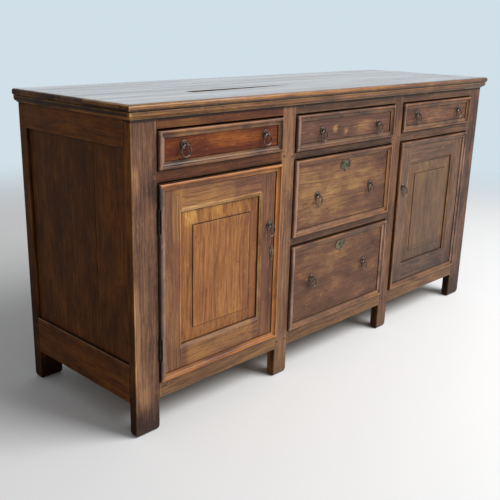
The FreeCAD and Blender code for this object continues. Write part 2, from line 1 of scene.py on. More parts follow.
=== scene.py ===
# %% [markdown]
# # Dressing an old oak dresser base
# The piece is the lower half of a country dresser: a joined oak carcase with three drawers under the top,
# two deep drawers in the middle and a fielded door on each side. The solids come from the CAD model and are
# already in the right place, so this lesson only gives them wood, iron, wear and light.
# Loading the frame first means that nothing here has to be measured twice.

# %% Load the frame
import json
import math
import random

import bmesh
import bpy
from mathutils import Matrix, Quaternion, Vector

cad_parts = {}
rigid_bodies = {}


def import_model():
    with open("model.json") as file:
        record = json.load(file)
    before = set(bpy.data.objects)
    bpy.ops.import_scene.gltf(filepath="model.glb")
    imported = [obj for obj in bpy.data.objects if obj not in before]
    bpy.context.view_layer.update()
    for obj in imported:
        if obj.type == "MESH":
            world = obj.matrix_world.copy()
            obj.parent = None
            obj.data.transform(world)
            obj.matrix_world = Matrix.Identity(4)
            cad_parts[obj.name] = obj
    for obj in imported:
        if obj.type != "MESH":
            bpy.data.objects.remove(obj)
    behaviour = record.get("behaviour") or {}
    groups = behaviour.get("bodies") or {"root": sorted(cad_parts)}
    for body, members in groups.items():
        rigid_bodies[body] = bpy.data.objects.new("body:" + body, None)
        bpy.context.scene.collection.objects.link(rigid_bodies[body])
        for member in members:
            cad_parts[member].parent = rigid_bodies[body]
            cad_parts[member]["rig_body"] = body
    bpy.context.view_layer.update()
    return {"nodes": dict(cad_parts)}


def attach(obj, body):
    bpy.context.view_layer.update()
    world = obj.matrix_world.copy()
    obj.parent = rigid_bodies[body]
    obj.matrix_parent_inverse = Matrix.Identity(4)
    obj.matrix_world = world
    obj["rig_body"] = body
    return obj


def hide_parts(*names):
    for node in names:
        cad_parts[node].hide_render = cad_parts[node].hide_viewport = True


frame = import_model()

# %% [markdown]
# ## Colours and nodes
# A colour given as a hex code is an sRGB value, while shaders work in linear light, so one function turns the
# hex code that is written here into the number that a socket takes. A second one adds a shader node: its
# settings are the node's own properties and its inputs are either plain values or the sockets that feed them.

# %% Two small helpers
def linear(hex_code):
    """An sRGB hex colour as linear RGBA."""
    channels = [int(hex_code[i:i + 2], 16) / 255 for i in (1, 3, 5)]
    return tuple(c / 12.92 if c <= 0.04045 else ((c + 0.055) / 1.055) ** 2.4 for c in channels) + (1.0,)


def add(tree, kind, inputs=None, stops=None, **settings):
    """One new node. Stops are the places and hex colours of a ramp."""
    node = tree.nodes.new(kind)
    for name, value in settings.items():
        setattr(node, name, value)
    for name, value in (inputs or {}).items():
        if isinstance(value, bpy.types.NodeSocket):
            tree.links.new(value, node.inputs[name])
        else:
            node.inputs[name].default_value = value
    for i, (place, hex_code) in enumerate(stops or []):
        elements = node.color_ramp.elements
        element = elements[i] if i < 2 else elements.new(place)
        element.position = place
        element.color = linear(hex_code)
    return node


print("warm oak brown in linear light:", [round(c, 3) for c in linear("#9a6b48")])

# %% [markdown]
# ## Old waxed oak
# Oak is ring-porous, so a planed board shows long streaks along the grain, short dark pores, and slow changes
# of colour from the log. The streaks could be painted as an image, but a procedural pattern stays sharp at
# any distance. Each board carries its own `grain` attribute, in metres along, across and through the board, so
# the pattern turns with the board and never runs on into its neighbour. A noise with many steps in a metre
# across the board and few along it becomes a streak.

# %% Streaks, pores and patches
# Steps of noise in a metre along, across and through a board.
fibre_steps = (4, 9, 9)
bundle_steps = (2.4, 110, 110)
ring_steps = (7, 320, 320)
patch_steps = (7, 14, 14)
fibre_swing = (0, 0.03, 0.03)


def grain_noises(tree, grain):
    """The bent grain, and the noises of its streaks, its lines of pores and its patches."""
    # The fibres wander about 8 mm to and fro in half a metre.
    slow = add(tree, "ShaderNodeVectorMath", {0: grain, 1: fibre_steps}, operation="MULTIPLY")
    wander = add(tree, "ShaderNodeTexNoise", {"Vector": slow.outputs[0], "Scale": 1, "Detail": 1})
    bent = add(tree, "ShaderNodeVectorMath", {0: wander.outputs["Color"], 1: fibre_swing, 2: grain},
               operation="MULTIPLY_ADD").outputs[0]
    # Growth rings are about 3 mm apart, and bundles of them make streaks 9 mm wide. The lines of pores
    # between two rings are much finer on real oak, and are drawn 3 mm wide so that they show.
    bundles = add(tree, "ShaderNodeVectorMath", {0: bent, 1: bundle_steps}, operation="MULTIPLY")
    streaks = add(tree, "ShaderNodeTexNoise", {"Vector": bundles.outputs[0], "Scale": 1, "Detail": 5,
                                               "Roughness": 0.68, "Distortion": 0.25})
    rings = add(tree, "ShaderNodeVectorMath", {0: bent, 1: ring_steps}, operation="MULTIPLY")
    lines = add(tree, "ShaderNodeTexNoise", {"Vector": rings.outputs[0], "Scale": 1, "Detail": 2,
                                             "Roughness": 0.6})
    # Wax, light and hands leave ragged patches, about 140 mm along the board and 70 mm across it.
    blotches = add(tree, "ShaderNodeVectorMath", {0: bent, 1: patch_steps}, operation="MULTIPLY")
    patches = add(tree, "ShaderNodeTexNoise", {"Vector": blotches.outputs[0], "Scale": 1, "Detail": 6,
                                               "Roughness": 0.7})
    return bent, streaks.outputs["Fac"], lines.outputs["Fac"], patches.outputs["Fac"]


for pattern, steps in (("streaks", bundle_steps), ("lines of pores", ring_steps), ("patches", patch_steps)):
    print(pattern, "are about", round(1000 / steps[1]), "mm wide")

# %% Colour of the planed wood
def planed_colour(tree, streaks, lines, patches, deep, middle, pale, streak, patch):
    """A ramp over the streaks, the patches and the board's own tone, crossed by dark lines of pores."""
    tone = add(tree, "ShaderNodeAttribute", attribute_name="tone").outputs["Fac"]
    rest = 0.5 - 0.5 * (streak + patch)
    figure = add(tree, "ShaderNodeMath", {0: streaks, 1: streak, 2: rest}, operation="MULTIPLY_ADD")
    figure = add(tree, "ShaderNodeMath", {0: patches, 1: patch, 2: figure.outputs[0]},
                 operation="MULTIPLY_ADD")
    figure = add(tree, "ShaderNodeMath", {0: figure.outputs[0], 1: tone}, operation="ADD")
    wood = add(tree, "ShaderNodeValToRGB", {"Fac": figure.outputs[0]},
               stops=[(0.18, deep), (0.82, pale), (0.5, middle)]).outputs["Color"]
    line_share = add(tree, "ShaderNodeMapRange", {"Value": lines, "From Min": 0.5, "From Max": 0.66,
                                                  "To Max": 0.6}).outputs["Result"]
    wood = add(tree, "ShaderNodeMix", {"Factor": line_share, 6: wood, 7: linear(deep)}, data_type="RGBA")
    return wood.outputs[2]


# %% [markdown]
# ## Wear, dirt and painted shade
# Three centuries of wax and hands add the rest: arrises are rubbed back to a golden brown, and every inner
# corner is darkened, a painted shade that also stands for the dirt there. Both could be painted by hand, but
# the ambient occlusion node finds the places on any shape. Looking inwards from the surface it finds outer
# corners, and looking outwards it finds inner ones.

# %% Knocks and rubbed arrises
dent_steps = 130
scuff_steps = (45, 170, 170)


def knocked(tree, wood, grain, rubbed):
    """Ink-dark dents about 4 mm across, and flecks about 20 mm long where the polish is scuffed through. Gives
    the colour and the share of dents."""
    dents = add(tree, "ShaderNodeTexNoise", {"Vector": grain, "Scale": dent_steps,
                                             "Detail": 2}).outputs["Fac"]
    dent_share = add(tree, "ShaderNodeMapRange", {"Value": dents, "From Min": 0.67, "From Max": 0.76,
                                                  "To Max": 0.6}).outputs["Result"]
    wood = add(tree, "ShaderNodeMix", {"Factor": dent_share, 6: wood, 7: linear("#20120a")},
               data_type="RGBA")
    flecks = add(tree, "ShaderNodeVectorMath", {0: grain, 1: scuff_steps}, operation="MULTIPLY")
    scuffs = add(tree, "ShaderNodeTexNoise", {"Vector": flecks.outputs[0], "Scale": 1,
                                              "Detail": 3}).outputs["Fac"]
    scuff_share = add(tree, "ShaderNodeMapRange", {"Value": scuffs, "From Min": 0.63, "From Max": 0.77,
                                                   "To Max": 0.4}).outputs["Result"]
    wood = add(tree, "ShaderNodeMix", {"Factor": scuff_share, 6: wood.outputs[2], 7: linear(rubbed)},
               data_type="RGBA")
    return wood.outputs[2], dent_share


def rubbed_back(tree, wood, patches, rubbed, rub, reach):
    """Paler wood along the outer corners, more in some patches than in others."""
    convex = add(tree, "ShaderNodeAmbientOcclusion", {"Distance": reach}, inside=True, only_local=True,
                 samples=8)
    corner = add(tree, "ShaderNodeMapRange", {"Value": convex.outputs["AO"], "From Min": 0.95,
                                              "From Max": 0.55, "To Max": rub}).outputs["Result"]
    uneven = add(tree, "ShaderNodeMapRange", {"Value": patches, "From Min": 0.38, "From Max": 0.58,
                                              "To Min": 0.2}).outputs["Result"]
    share = add(tree, "ShaderNodeMath", {0: corner, 1: uneven}, operation="MULTIPLY").outputs[0]
    wood = add(tree, "ShaderNodeMix", {"Factor": share, 6: wood, 7: linear(rubbed)}, data_type="RGBA")
    return wood.outputs[2]


print("dents repeat every", round(1000 / dent_steps), "mm, and flecks are", round(1000 / scuff_steps[0]),
      "mm long")

# %% Painted shade and dirt
narrow_reach = 0.005
mopped_height = 0.11


def shaded_and_soiled(tree, wood, dirt, reach):
    """Painted shade and dirt in wide and narrow inner corners, and the lowest part, dark from years of wet
    mopping.
    """
    # Painted shade: both occlusion masks darken the inner corners, and stand for dirt there too.
    broad = add(tree, "ShaderNodeAmbientOcclusion", {"Distance": reach}, samples=8)
    broad = add(tree, "ShaderNodeMapRange", {"Value": broad.outputs["AO"], "From Min": 0.85, "From Max": 0.25,
                                             "To Max": dirt}).outputs["Result"]
    narrow = add(tree, "ShaderNodeAmbientOcclusion", {"Distance": narrow_reach}, samples=8)
    narrow = add(tree, "ShaderNodeMapRange", {"Value": narrow.outputs["AO"], "From Min": 0.97,
                                              "From Max": 0.62, "To Max": dirt}).outputs["Result"]
    corners = add(tree, "ShaderNodeMath", {0: broad, 1: narrow}, operation="MAXIMUM").outputs[0]
    place = add(tree, "ShaderNodeTexCoord").outputs["Object"]
    height = add(tree, "ShaderNodeSeparateXYZ", {0: place}).outputs["Z"]
    mopped = add(tree, "ShaderNodeMapRange", {"Value": height, "From Min": mopped_height, "From Max": 0.0,
                                              "To Max": 0.4}).outputs["Result"]
    share = add(tree, "ShaderNodeMath", {0: corners, 1: mopped}, operation="MAXIMUM").outputs[0]
    wood = add(tree, "ShaderNodeMix", {"Factor": share, 6: wood, 7: linear("#1a0e07")}, data_type="RGBA")
    return wood.outputs[2]


print("mopping has darkened the lowest", round(1000 * mopped_height), "mm")

# %% [markdown]
# ## One oak for many finishes
# Wax fills the pores and leaves a soft shine that is broken by the grain, so streaks change the roughness and
# the lines of pores and the dents are pressed into the surface by a bump. The polished parts have a second,
# clear layer. It could be left even, but old polish is worn thin in long bands, about 35 mm wide.

# %% Aged oak
band_steps = (1.2, 28, 28)


def aged_oak(name, deep, middle, pale, rubbed, streak=1.0, patch=0.8, rub=0.6, rub_reach=0.006, dirt=0.8,
             dirt_reach=0.02, roughness=0.5, specular=0.3, coat=0.0, coat_roughness=0.3):
    """Waxed oak, from the colour of its dark streaks to the colour of its rubbed arrises."""
    material = bpy.data.materials.new(name)
    material.use_nodes = True
    tree = material.node_tree
    tree.nodes.clear()
    grain = add(tree, "ShaderNodeAttribute", attribute_name="grain").outputs["Vector"]
    bent, streaks, lines, patches = grain_noises(tree, grain)
    wood = planed_colour(tree, streaks, lines, patches, deep, middle, pale, streak, patch)
    wood, dent_share = knocked(tree, wood, grain, rubbed)
    wood = rubbed_back(tree, wood, patches, rubbed, rub, rub_reach)
    wood = shaded_and_soiled(tree, wood, dirt, dirt_reach)

    shine = add(tree, "ShaderNodeMapRange", {"Value": streaks, "From Min": 0.3, "From Max": 0.7,
                                             "To Min": roughness - 0.07, "To Max": roughness + 0.1})
    relief = add(tree, "ShaderNodeMath", {0: lines, 1: -0.7, 2: streaks}, operation="MULTIPLY_ADD")
    relief = add(tree, "ShaderNodeMath", {0: dent_share, 1: -0.8, 2: relief.outputs[0]},
                 operation="MULTIPLY_ADD")
    bump = add(tree, "ShaderNodeBump", {"Strength": 0.4, "Distance": 0.0012, "Height": relief.outputs[0]})
    surface = add(tree, "ShaderNodeBsdfPrincipled", {
        "Base Color": wood, "Roughness": shine.outputs["Result"], "Normal": bump.outputs["Normal"],
        "IOR": 1.5, "Specular IOR Level": specular, "Coat Weight": coat, "Coat Roughness": coat_roughness})
    if coat > 0:
        bands = add(tree, "ShaderNodeVectorMath", {0: bent, 1: band_steps}, operation="MULTIPLY")
        bands = add(tree, "ShaderNodeTexNoise", {"Vector": bands.outputs[0], "Scale": 1, "Detail": 3})
        polish = add(tree, "ShaderNodeMapRange", {"Value": bands.outputs["Fac"], "From Min": 0.34,
                                                  "From Max": 0.66, "To Min": coat * 0.4,
                                                  "To Max": coat * 1.6})
        tree.links.new(polish.outputs["Result"], surface.inputs["Coat Weight"])
    add(tree, "ShaderNodeOutputMaterial", {"Surface": surface.outputs["BSDF"]})
    return material


# %% [markdown]
# ## Oak finishes
# The boards came from different trees and have been waxed, rubbed and lit differently, so no two parts of
# the piece have quite the same brown. One material with a changing tint would do for a new cabinet. Here each
# group of boards gets its own dark, middle, pale and rubbed colour, and they all share the grain.

# %% Finishes of the frame
# Uprights: blotched mid brown, with thin pale arrises that are rubbed and partly a painted highlight.
front_oak = aged_oak("aged_oak_front_frame", "#321a0f", "#6e4b36", "#926a48", "#b88c58", patch=1.1, rub=0.7,
                     rub_reach=0.004)
# Rails round the left drawer: dark and reddish. The others are greyer, and the bottom ones paler and dusty.
rail_oak = aged_oak("aged_oak_front_rails", "#2d140b", "#60351e", "#8a5c2e", "#b0783a", rub=0.4, specular=0.2)
grey_rail_oak = aged_oak("aged_oak_grey_rails", "#2c1a12", "#543a2c", "#7a5a40", "#a07c54", rub=0.4,
                         specular=0.2)
low_rail_oak = aged_oak("aged_oak_bottom_rails", "#321c0f", "#6c4a2f", "#946c40", "#b88c58", rub=0.4)
# Pegs: end grain, which soaks up wax and looks darker than the wood round it.
peg_oak = aged_oak("aged_oak_pegs", "#2a150b", "#5c3822", "#7d5530", "#7d5530", rub=0.0)
# Ends: deep red-brown with almost no shine. The mouldings there are darker still, with a rubbed lower edge.
end_oak = aged_oak("aged_oak_dark_ends", "#271308", "#522e13", "#7a471d", "#80542a", streak=0.6, patch=1.0,
                   rub=0.3, specular=0.05)
end_moulding_oak = aged_oak("aged_oak_dark_mouldings", "#1e0d05", "#3d2212", "#8a5c30", "#a8743a", rub=0.6,
                            specular=0.08)
# Top: grey-brown, with a clear polish that mirrors the room. Its front edge is rubbed to a golden orange.
top_oak = aged_oak("aged_oak_polished_top", "#38241a", "#5f4433", "#7b5e48", "#a87b50", streak=1.6, patch=0.8,
                   roughness=0.3, specular=0.5, coat=0.4, coat_roughness=0.2)
nosing_oak = aged_oak("aged_oak_rubbed_top_edge", "#3c1f0d", "#7c4c22", "#ac7634", "#c79450", rub=0.6,
                      roughness=0.4, coat=0.3, coat_roughness=0.2)
print("frame and top:", front_oak.name, rail_oak.name, end_oak.name, top_oak.name, "and their variants")

# %% Finishes of the doors
# Left door: warm brown frame, with arrises worn to pale gold and given a painted highlight.
door_oak = aged_oak("aged_oak_left_door_frame", "#381c10", "#704730", "#986a3c", "#b88a50", rub=0.0, dirt=0.7,
                    dirt_reach=0.008)
worn_highlit_arris_oak = aged_oak("aged_oak_left_door_worn_highlit_arrises", "#4e2c14", "#96693c", "#c89a64", "#dcb884", patch=1.4,
                       rub=0.3, dirt=0.5, dirt_reach=0.004)
# Its panel is the most orange board of the piece, and the bevel below it catches more light.
panel_oak = aged_oak("aged_oak_left_panel", "#562912", "#966032", "#b88442", "#c29248", patch=0.6,
                     dirt_reach=0.008)
bevel_oak = aged_oak("aged_oak_left_panel_bevel", "#5c3012", "#98642f", "#bc8c46", "#cfa35c", patch=1.2,
                     dirt_reach=0.008)
# Right door: the same parts in a greyer brown, which stands for a painted sheen.
sheen_grey_door_oak = aged_oak("aged_oak_right_door_frame", "#35231a", "#664a38", "#88674c", "#a8835a", rub=0.0,
                         dirt=0.7, dirt_reach=0.008)
grey_worn_highlit_arris_oak = aged_oak("aged_oak_right_door_worn_highlit_arrises", "#40281a", "#78543a", "#9c7650", "#b48e62",
                            patch=1.4, rub=0.3, dirt=0.5, dirt_reach=0.004)
sheen_grey_panel_oak = aged_oak("aged_oak_right_panel", "#402a1a", "#694a30", "#8c6a42", "#a07a50", patch=0.8,
                          dirt_reach=0.008, specular=0.4)
print("doors:", door_oak.name, panel_oak.name, sheen_grey_door_oak.name, sheen_grey_panel_oak.name, "and their edges")

# %% Finishes of the drawers and lips
# Left drawer: the reddest front. Right and centre: greyer. Deep drawers: paler, with large blotches.
drawer_oak = aged_oak("aged_oak_left_drawer", "#341508", "#612c14", "#965622", "#a8743a", streak=0.9, rub=0.0,
                      specular=0.15)
grey_drawer_oak = aged_oak("aged_oak_right_drawer", "#351c10", "#64412e", "#8f6844", "#a8835a", patch=1.1,
                           rub=0.0)
centre_drawer_oak = aged_oak("aged_oak_centre_drawer", "#351c12", "#644130", "#a0764a", "#a8835a", streak=0.7,
                             patch=0.5, rub=0.0)
deep_drawer_oak = aged_oak("aged_oak_deep_drawers", "#3a1f12", "#68432c", "#987044", "#b0844a", streak=0.6,
                           patch=1.2, rub=0.0)
# Lips: hands keep them smooth, so they shine a little. Some sides have gone orange, others grey and bright,
# partly as a painted highlight.
lip_oak = aged_oak("aged_oak_lips", "#2c140a", "#5a3420", "#8e5e36", "#ac7c4c", patch=1.3, rub=0.35,
                   roughness=0.4, coat=0.15, coat_roughness=0.25)
orange_lip_oak = aged_oak("aged_oak_left_door_lips", "#34180a", "#76401c", "#b06c2e", "#bc8040", patch=1.2,
                          rub=0.3, roughness=0.4, coat=0.15, coat_roughness=0.25)
bright_lip_oak = aged_oak("aged_oak_polished_lips", "#2a1209", "#54301f", "#8c5f40", "#bc957c", patch=1.4,
                          rub=0.5, roughness=0.35, specular=0.4, coat=0.4, coat_roughness=0.2)
print("oak finishes:", sum(m.name.startswith("aged_oak_") for m in bpy.data.materials))

# %% [markdown]
# ## Bare inner wood
# Drawer boxes, runners, partitions and the back were never polished. Their oak has gone grey-brown and dusty,
# so the same grain is used with duller colours, little rubbing and no wax.

# %% Inner wood
# Inside: dry and pale. Back: darker, from damp and dust.
inner_wood = aged_oak("bare_inner_wood", "#5d4630", "#86694a", "#a48762", "#b59a73", rub=0.3, roughness=0.7)
back_wood = aged_oak("bare_back_wood", "#3b2a1e", "#5f4734", "#7a614a", "#8d7358", rub=0.3, roughness=0.75)
print("inner finishes:", inner_wood.name, back_wood.name)

# %% [markdown]
# ## Laying the grain along each board
# A CAD node arrives as loose triangles, and one node may hold several boards. Merging all points at once
# would also glue boards together where they touch. The triangles come board by board, though, and a board is
# complete when every edge has found its partner, so each board is merged by itself and stays a closed shell.
# The longest side of a board is the way its grain runs. Real arrises are never knife sharp, so the long outer
# edges of the frame members get a small bevel.

# %% Weld a node and find its boards
same_point = 0.00002
flat_angle = math.radians(0.4)


def welded(node):
    """A clean bmesh of one CAD node, in which each board is a closed shell of its own."""
    bm = bmesh.new()
    bm.from_mesh(frame["nodes"][node].data)
    boards, points, unpaired = [], [], set()
    for face in bm.faces:
        points += face.verts
        corners = [tuple(vert.co) for vert in face.verts]
        for start, end in zip(corners, corners[1:] + corners[:1]):
            if (end, start) in unpaired:
                unpaired.remove((end, start))
            elif start != end:
                unpaired.add((start, end))
        if not unpaired:
            boards.append(list(dict.fromkeys(points)))
            points = []
    for points in boards:
        bmesh.ops.remove_doubles(bm, verts=points, dist=same_point)
    bmesh.ops.dissolve_limit(bm, angle_limit=flat_angle, verts=bm.verts, edges=bm.edges)
    return bm


def boards_in(bm):
    """The faces of each board, found by walking from face to face over the edges."""
    seen = set()
    boards = []
    for first in bm.faces:
        if first not in seen:
            seen.add(first)
            board = [first]
            for face in board:
                for edge in face.edges:
                    for other in edge.link_faces:
                        if other not in seen:
                            seen.add(other)
                            board.append(other)
            boards.append(board)
    return boards


trial = welded("back_boards")
print("the back has", len(boards_in(trial)), "boards")
trial.free()

# %% Soften the arrises
wall_reach = 0.0001
shortest_arris = 0.02


def extent(board):
    """Lowest and highest corner of a board."""
    points = [vert.co for face in board for vert in face.verts]
    low = Vector([min(p[k] for p in points) for k in range(3)])
    high = Vector([max(p[k] for p in points) for k in range(3)])
    return low, high


def soften(bm, radius):
    """Rounds the long edges that lie on the outer box of each board."""
    arrises = []
    for board in boards_in(bm):
        low, high = extent(board)
        for edge in dict.fromkeys(edge for face in board for edge in face.edges):
            middle = (edge.verts[0].co + edge.verts[1].co) / 2
            walls = sum(min(abs(middle[k] - low[k]), abs(middle[k] - high[k])) < wall_reach for k in range(3))
            if walls >= 2 and edge.calc_length() > shortest_arris and len(edge.link_faces) == 2:
                arrises.append(edge)
    bmesh.ops.bevel(bm, geom=arrises, offset=radius, segments=3, profile=0.5, affect="EDGES",
                    clamp_overlap=True, material=-1)


trial = welded("end_panels")
before = len(trial.faces)
soften(trial, 0.002)
print("rounding takes the end panels from", before, "to", len(trial.faces), "faces")
trial.free()

# %% Write the grain and make the piece
log_length = 20


def write_grain(bm, seed, spread, shift):
    """Gives each board its own stretch of a log, and a tone a little darker or paler than the next.
    Shift is one number for all boards, or a function of a board's middle and a point on it."""
    dice = random.Random(seed)
    grain = bm.loops.layers.float_vector.new("grain")
    tone = bm.loops.layers.float.new("tone")
    boards = sorted(boards_in(bm),
                    key=lambda board: [round(v, 4) for corner in extent(board) for v in corner])
    for board in boards:
        low, high = extent(board)
        order = sorted(range(3), key=lambda k: high[k] - low[k], reverse=True)
        start = Vector([dice.uniform(0, log_length) for _ in range(3)])
        shade = dice.uniform(-spread, spread)
        middle = (low + high) / 2
        for face in board:
            for loop in face.loops:
                point = loop.vert.co
                loop[grain] = Vector([point[k] for k in order]) + start
                loop[tone] = shade + (shift(middle, point) if callable(shift) else shift)
    return len(boards)


def finish_wood(bm, node, *materials, slot="aged_oak", spread=0.08, shift=0.0, crease=0):
    """Turns the bmesh into the piece that stands for a CAD node and rides with its body. Rounded pieces are
    shaded smooth, except where two faces meet at more than the crease angle."""
    count = write_grain(bm, node, spread, shift)
    mesh = bpy.data.meshes.new("wood_" + node)
    bm.to_mesh(mesh)
    bm.free()
    if crease:
        mesh.shade_smooth()
        mesh.set_sharp_from_angle(angle=math.radians(crease))
    for material in materials:
        mesh.materials.append(material)
    piece = bpy.data.objects.new("wood_" + node, mesh)
    bpy.context.scene.collection.objects.link(piece)
    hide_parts(node)
    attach(piece, frame["nodes"][node]["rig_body"])
    print(piece.name, "boards:", count, "faces:", len(mesh.polygons))
    return piece


# %% [markdown]
# ## Worn spots
# Wear isn't even: one length of an arris gets all the knocks, and a corner of a door all the rubbing. The
# tone is stored at the corners of faces and blends between them, so a spot with a soft edge only needs a few
# cut lines round it: full strength inside, none outside, and a smooth change between the two lines. The marks
# could be painted on by hand in Blender, but then they would be lost each time the script runs.

# %% Spots of paler wood
def cut(bm, axis, places):
    """Cuts the mesh straight across at the given places along one axis. Points that lie on the cut stay
    single, so that no slivers are left."""
    normal = [float(k == axis) for k in range(3)]
    for place in places:
        geometry = bm.verts[:] + bm.edges[:] + bm.faces[:]
        bmesh.ops.bisect_plane(bm, geom=geometry, dist=same_point, plane_co=[n * place for n in normal],
                               plane_no=normal)


def spot_tones(bm, spots, soft=(0.015, 0.015)):
    """Cuts lines round each spot and gives the tone for any point. A spot is x from and to, z from and to,
    and strength, and soft is how far it fades along x and z."""
    for x0, x1, z0, z1, _ in spots:
        cut(bm, 0, (x0 - soft[0], x0, x1, x1 + soft[0]))
        cut(bm, 2, (z0 - soft[1], z0, z1, z1 + soft[1]))

    def tone(middle, point):
        total = 0.0
        for x0, x1, z0, z1, strength in spots:
            across = min(point.x - x0, x1 - point.x) / soft[0] + 1
            up = min(point.z - z0, z1 - point.z) / soft[1] + 1
            total += strength * min(max(across, 0), 1) * min(max(up, 0), 1)
        return total
    return tone


trial = welded("left_drawer_front")
before = len(trial.faces)
cut(trial, 0, [-0.5])
print("one cut takes a drawer front from", before, "to", len(trial.faces), "faces")
trial.free()

# %% [markdown]
# ## The posts
# Posts and muntins run down to the floor as feet. They have stood on stone floors for a long time, so their
# lowest 14 mm are rounded and a little smaller. Cutting a few level lines with bisect_plane gives points to
# pull in there. The front corner on the left is the most rubbed and has a painted highlight, and the sides
# between the doors are painted dark as shade.

# %% Worn feet and rubbed corners
end_x = 0.8


def wear_feet(bm, height, loss):
    """Pulls the bottom of each post in towards its middle."""
    cut(bm, 2, [height * share for share in (0.15, 0.4, 0.7, 1.0)])
    for board in boards_in(bm):
        low, high = extent(board)
        centre = (low + high) / 2
        if low.z < 0.001:
            for vert in dict.fromkeys(vert for face in board for vert in face.verts):
                if vert.co.z < height:
                    pull = loss * (1 - vert.co.z / height) ** 2.5
                    for k in (0, 1):
                        half = (high[k] - low[k]) / 2
                        vert.co[k] = centre[k] + (vert.co[k] - centre[k]) * (1 - pull / half)


def darken_sides(bm, inner=1):
    """Second material on the faces that look out at the left and right ends, and the inner one on the flanks
    between them, as painted shade."""
    for face in bm.faces:
        if abs(face.normal.x) > 0.6:
            face.material_index = 1 if abs(face.calc_center_median().x) > end_x else inner


def rub_and_highlight_corner(bm):
    """Third material on the left corner of the front left post, which is rubbed pale by all that goes past and
    also carries a painted highlight.
    """
    for face in bm.faces:
        if face.calc_center_median().x < -end_x and face.normal.x < -0.2 and face.normal.y < -0.2:
            face.material_index = 2


trial = welded("back_posts")
wear_feet(trial, height=0.014, loss=0.005)
print("the back posts are worn at", sum(vert.co.z < 0.014 for vert in trial.verts), "points")
trial.free()

# %% Tones of the posts
left_end_face = -0.8065
corner_post_x = 0.7
post_height = 0.82


def upright_tones(bm):
    """Cuts lines round the worn places and gives the tone for any point. Every post gets a painted shadow under
    the moulding of the top. On the left post the front darkens towards its top, and the outer side darkens
    towards its foot as painted shade. The right post is dark all over."""
    worn_strip = spot_tones(bm, [(-0.803, -0.797, 0.25, 0.34, 0.45)], soft=(0.008, 0.1))
    knocks = spot_tones(bm, [(-0.798, -0.793, 0.65, 0.68, 0.35), (-0.79, -0.765, 0.09, 0.115, 0.25)],
                        soft=(0.01, 0.03))
    dull_strip = spot_tones(bm, [(-0.755, -0.7, 0.12, 0.66, -0.1)], soft=(0.025, 0.05))
    wet_foot = spot_tones(bm, [(-1.0, 1.0, -0.1, 0.03, -1.0)], soft=(0.1, 0.08))
    # Painted shadow under the moulding of the top.
    shadow_under_top = spot_tones(bm, [(-1.0, 1.0, 0.8, 0.83, -0.5)], soft=(0.1, 0.005))

    def tone(middle, point):
        wear = shadow_under_top(middle, point)
        if point.x < left_end_face:
            return wear - 0.23 + 0.47 * point.z
        if middle.x < -corner_post_x:
            wear += worn_strip(middle, point) + knocks(middle, point) + dull_strip(middle, point)
            wear += 0.4 * wet_foot(middle, point)
            return wear + 0.06 - 0.2 * point.z / post_height
        if middle.x > corner_post_x:
            return wear + 0.2 * wet_foot(middle, point) - 0.1
        return wear + 0.03 - 0.1 * wet_foot(middle, point)
    return tone


for node, material in (("front_uprights", front_oak), ("back_posts", end_oak)):
    posts = welded(node)
    soften(posts, 0.0025)
    wear_feet(posts, height=0.014, loss=0.005)
    # The flanks between the doors take the darkest finish as painted shade.
    darken_sides(posts, inner=3)
    tones = upright_tones(posts)
    if node == "front_uprights":
        rub_and_highlight_corner(posts)
    finish_wood(posts, node, material, end_oak, worn_highlit_arris_oak, end_moulding_oak, shift=tones)

# %% [markdown]
# ## The rails
# Rails are tenoned between the posts. They could all share one finish, but the ones round the left drawer are
# redder, the bottom ones are paler, and painted shadow darkens them where a drawer or the top meets them.

# %% Rails of the front, the ends and the back
bottom_rail_z = 0.15
left_bay_x = -0.3
end_rail_x = 0.75


def sort_front_rails(bm):
    """Second material on the rails over and between the centre and right drawers, third on the bottom
    rails."""
    for board in boards_in(bm):
        low, _ = extent(board)
        for face in board:
            face.material_index = 2 if low.z < bottom_rail_z else int(low.x > left_bay_x)


def highlight_ledges(bm):
    """Fourth material on the upper outer arrises of the end rails: a pale line, painted as a highlight."""
    for face in bm.faces:
        if abs(face.normal.x) > 0.2 and face.normal.z > 0.2:
            face.material_index = 3


def rail_tones(painted_shadow):
    """The upper end rails are paler than the lower ones, and the left bottom rail is the darkest of three."""
    def tone(middle, point):
        if abs(middle.x) > end_rail_x:
            return 0.08 if middle.z > 0.5 else -0.02
        paler = 0.06 if middle.z < bottom_rail_z and middle.x > left_bay_x else 0.0
        return painted_shadow(middle, point) + paler
    return tone


for node, material in (("front_rails", rail_oak), ("end_rails", end_oak), ("back_rails", back_wood)):
    rails = welded(node)
    soften(rails, 0.0015)
    if node == "front_rails":
        sort_front_rails(rails)
        # Painted shadow along the lower edge of the rail above the left door and middle drawer, and under the
        # top's moulding.
        painted_shadow = spot_tones(rails, [(-0.74, 0.25, 0.65, 0.654, -0.5), (-1.0, 1.0, 0.8, 0.83, -0.5)],
                           soft=(0.01, 0.005))
    if node == "end_rails":
        highlight_ledges(rails)
    finish_wood(rails, node, material, grey_rail_oak, low_rail_oak, grey_worn_highlit_arris_oak,
                shift=rail_tones(painted_shadow))

# %% [markdown]
# ## Ends, back and inside
# Each end is filled with two upright boards, the back is nailed on, and the inside has partitions, floors and
# runners. They are plain boards, so they only need their grain. The end boards are paler towards the front.

# %% Boards of the carcase
end_panels = welded("end_panels")
soften(end_panels, 0.002)
finish_wood(end_panels, "end_panels", end_oak, spread=0.02, shift=lambda middle, point: -0.3 * middle.y)
pegs = welded("joint_pegs")
darken_sides(pegs)
finish_wood(pegs, "joint_pegs", peg_oak, end_oak)
finish_wood(welded("back_boards"), "back_boards", back_wood, slot="inner_wood")
for node in ("partitions", "floor_boards", "drawer_runners"):
    finish_wood(welded(node), node, inner_wood, slot="inner_wood")

